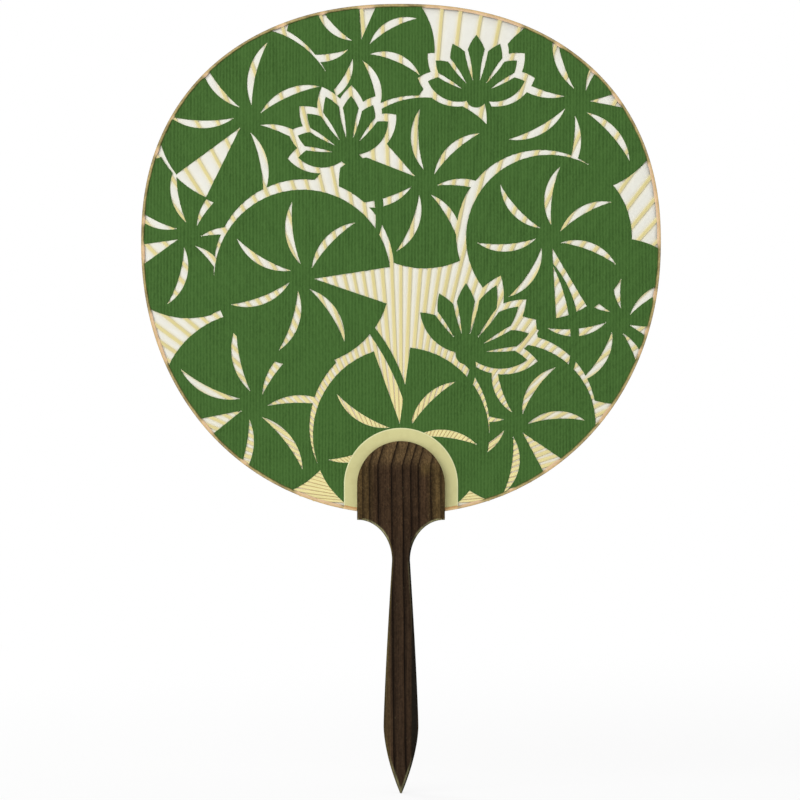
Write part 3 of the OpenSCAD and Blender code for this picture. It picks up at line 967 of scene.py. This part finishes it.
def handle_colours(x, y, z):
    """The handle's colours: brown cedar, olive at the head's sides, paler on its bevel (partly a lighter cut
    through the char, partly painted light where it faces up), a left chamfer painted lit and a right one
    painted in shade, black along the growth rings, and pale where the cut edges are worn."""
    grip_away, chamfer = grip_edge(x, z)
    on_face = smooth_step(np.abs(y) - half_thickness(z), -3.2 * MM, -2.6 * MM)
    facet = smooth_step(edge_loss(x, z), 0.05 * MM, 0.3 * MM) * (z < NECK_Z + 0.6 * COVE_H) * on_face
    bevel = smooth_step(z - HANDLE_TOP_Z + BEVEL_H, -3 * MM, 5 * MM)
    olive = smooth_step(np.abs(x), 11 * MM, 17 * MM) * (z > NECK_Z) * np.where(x > 0, 0.9, 0.75)
    olive_top = smooth_step(x, 6 * MM, 12 * MM) * smooth_step(z, 115 * MM, 122 * MM)
    tone = blend(CEDAR_GRIP, CEDAR, smooth_step(z, NECK_Z, HEAD_Z))
    tone = blend(tone, CEDAR_OLIVE, np.maximum(olive, olive_top))
    # Painted light: the bevel, which faces up, is paler, partly also a lighter cut through the char
    tone = blend(tone, CEDAR_BEVEL_CUT_AND_LIT, bevel)
    # Painted light on the left chamfer, palest near its outer edge, and painted shade on the right one
    left = blend(CEDAR_LEFT_LIT, CEDAR_LEFT_RIM_LIT, smooth_step(-grip_away, -1.4 * MM, -0.4 * MM))
    tone = blend(tone, left, facet * (x < 0))
    tone = blend(tone, CEDAR_RIGHT_SHADED, facet * (x > 0))
    dark = ring_dark(ring_place(x, y, z)) * (1 - 0.55 * facet)
    tone = blend(tone, CHAR, np.clip(dark, 0, 0.97))
    patchy = 0.7 + 0.3 * ripple(x, (13 * MM, 5.1 * MM, 2.3 * MM), 4)
    under_head = smooth_step(z, 84 * MM, 92 * MM) * (z < HEAD_Z + 0.5 * MM)
    cove_line = bell(cove_edge(x, z) - 0.55 * MM, 0.4 * MM) * patchy * under_head
    near_tip = smooth_step(-z, 12 * MM, 24 * MM)
    near_neck = smooth_step(z, 35 * MM, 70 * MM) * (x > 0)
    crease = bell(grip_away - chamfer, (0.25 + 0.2 * near_tip) * MM) * (z < NECK_Z)
    crease = crease * np.maximum(0.42 * near_tip, 0.14 * near_neck)
    return blend(tone, WORN, np.clip((0.95 * cove_line + crease) * on_face, 0, 1))


def handle():
    """The handle: a lofted lower part up to the slot's floor, and a cheek on each side of the slot."""
    rows = lower_rows()
    lower = walled(face_points(rows, -1), face_points(rows, 1)[:, ::-1], WALL_CUTS)
    parts = [lower, cheek(-1), cheek(1)]
    starts = np.cumsum([0] + [part[..., 0].size for part in parts[:-1]])
    faces = sum((tube_faces(*part.shape[:2], start) for part, start in zip(parts, starts)), [])
    points = np.concatenate([part.reshape(-1, 3) for part in parts])
    piece = mesh_piece("charred_handle", points, faces, [cedar_material()])
    turn_outwards(piece)
    give_tint(piece, handle_colours(*mesh_points(piece.data).T))
    piece.data.set_sharp_from_angle(angle=math.radians(28))
    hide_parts("handle")


# The studio

def seen(tree):
    """1 for camera rays and for those that gloss or glass sends on, 0 for the light on the object."""
    path = put(tree, "ShaderNodeLightPath", {}).outputs
    straight_or_mirrored = calc(tree, "MAXIMUM", path["Is Camera Ray"], path["Is Glossy Ray"])
    return calc(tree, "MAXIMUM", straight_or_mirrored, path["Is Transmission Ray"])


def backdrop():
    """A world that is white where it is seen, and lights the object at a plain level."""
    world = bpy.data.worlds.new("studio")
    tree = empty_tree(world)
    strength = calc(tree, "MULTIPLY_ADD", seen(tree), 1 - WORLD_LEVEL, WORLD_LEVEL)
    sky = put(tree, "ShaderNodeBackground", {"Color": (1, 1, 1, 1), "Strength": strength})
    put(tree, "ShaderNodeOutputWorld", {"Surface": sky.outputs[0]})
    bpy.context.scene.world = world


def pale_floor():
    """A matt floor that keeps the shadow, and glows as white as the backdrop further off."""
    material = bpy.data.materials.new("pale_floor")
    tree = empty_tree(material)
    matt = put(tree, "ShaderNodeBsdfDiffuse", {"Color": (0.93, 0.93, 0.93, 1)})
    glow = put(tree, "ShaderNodeEmission", {"Color": (1, 1, 1, 1), "Strength": 1.0})
    away = put(tree, "ShaderNodeVectorMath", {0: object_place(tree)}, operation="LENGTH").outputs["Value"]
    glowing = calc(tree, "MULTIPLY_ADD", ease(tree, away, 0.3, 1.2), 1 - FLOOR_GLOW, FLOOR_GLOW)
    share = calc(tree, "MULTIPLY", seen(tree), glowing)
    mixed = put(tree, "ShaderNodeMixShader", {0: share, 1: matt.outputs[0], 2: glow.outputs[0]})
    put(tree, "ShaderNodeOutputMaterial", {"Surface": mixed.outputs[0]})
    bpy.ops.mesh.primitive_plane_add(size=FLOOR_SIZE, location=(0, 0, TIP_Z))
    floor = bpy.context.object
    floor.name = "floor"
    floor.data.materials.append(material)


def lamps():
    """Soft square lamps, aimed at the middle of the fan."""
    for name, place, size, power in LAMPS:
        lamp = bpy.data.lights.new(name, "AREA")
        lamp.size = size
        lamp.energy = power
        holder = bpy.data.objects.new(name, lamp)
        holder.location = place
        holder.rotation_euler = (Vector(LAMP_AIM) - Vector(place)).to_track_quat("-Z", "Y").to_euler()
        bpy.context.scene.collection.objects.link(holder)


def photo_camera():
    """A camera that looks straight at the front, with the photograph's scale at the middle plane."""
    camera = bpy.data.cameras.new("camera")
    camera.sensor_width = SENSOR_MM
    camera.lens = SENSOR_MM * CAMERA_AWAY / (PHOTO_PX * MM_PER_PX * MM)
    holder = bpy.data.objects.new("camera", camera)
    middle_x = (PHOTO_PX / 2 - ORIGIN_PX[0]) * MM_PER_PX * MM
    middle_z = (ORIGIN_PX[1] - PHOTO_PX / 2) * MM_PER_PX * MM
    holder.location = (middle_x, -CAMERA_AWAY, middle_z)
    holder.rotation_euler = (math.pi / 2, 0, 0)
    bpy.context.scene.collection.objects.link(holder)
    bpy.context.scene.camera = holder


bpy.context.scene.view_settings.view_transform = "Standard"
backdrop()
pale_floor()
lamps()
photo_camera()

front_paper()
back_paper()
all_ribs()
edge_binding()
base_patch("front_patch", "base_patch_front", -1)
base_patch("back_patch", "base_patch_back", 1)
handle()
